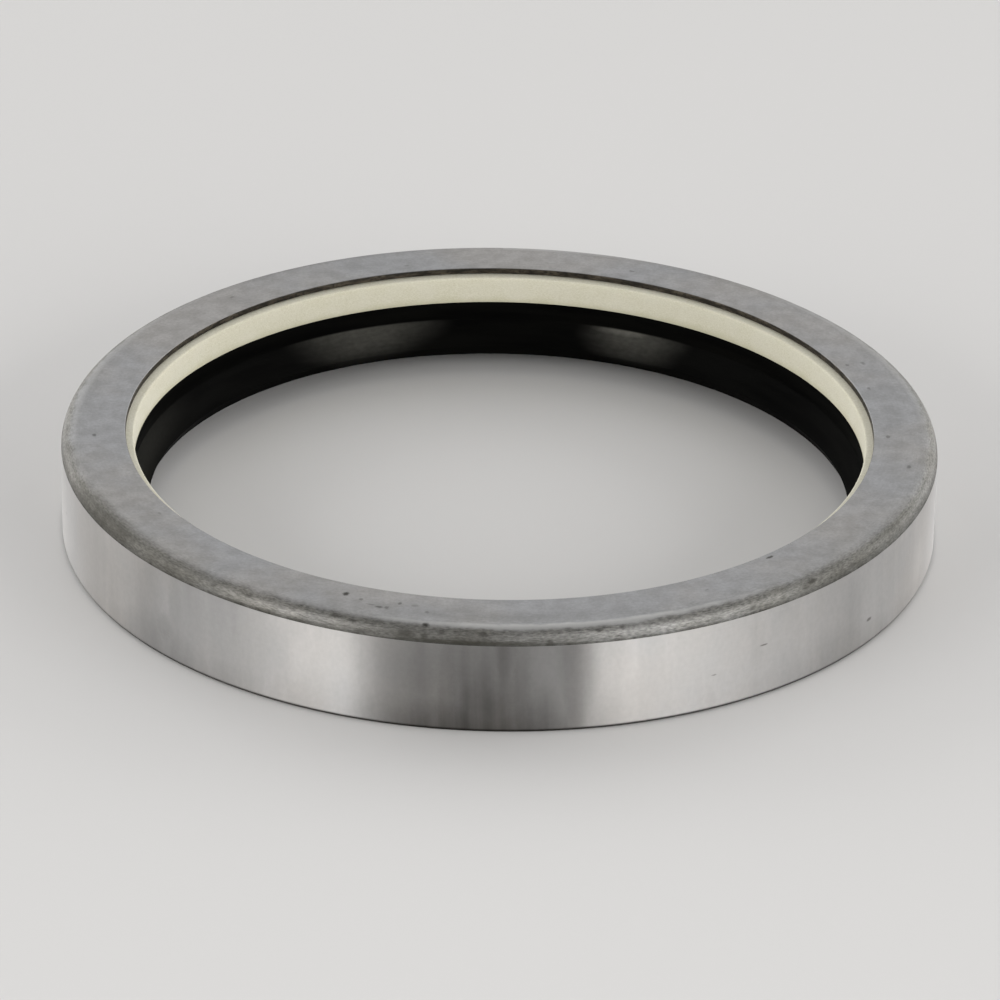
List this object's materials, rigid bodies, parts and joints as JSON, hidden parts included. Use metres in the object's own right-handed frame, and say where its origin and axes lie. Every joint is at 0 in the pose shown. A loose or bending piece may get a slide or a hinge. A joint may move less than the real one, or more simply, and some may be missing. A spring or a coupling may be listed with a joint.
{
  "type": "oil seal",
  "caption": "Metal-cased rotary shaft seal with a felt wiper under its flange and a sprung rubber lip on a carrier ring, for a round shaft in a housing bore.",
  "frame": {"origin": "on the seal's axis, in the plane of the rolled rim on the oil side", "axes": "+Z along the axis, from the oil side to the flanged air side; X and Y are any two radii"},
  "size_m": [0.16, 0.16, 0.02],
  "materials": {
    "case_steel": "ground outside diameter, matt flange with small stains, brown sheared inner edge",
    "cream_felt": "pressed cream felt",
    "carrier_steel": "dull pressed steel",
    "black_rubber": "moulded black rubber, slightly glossy",
    "spring_steel": "bright drawn spring wire"
  },
  "bodies": {
    "root": {"outer_case": "case_steel", "felt_wiper": "cream_felt", "lip_carrier": "carrier_steel", "sealing_lip": "black_rubber", "garter_spring": "spring_steel"}
  },
  "joints": []
}
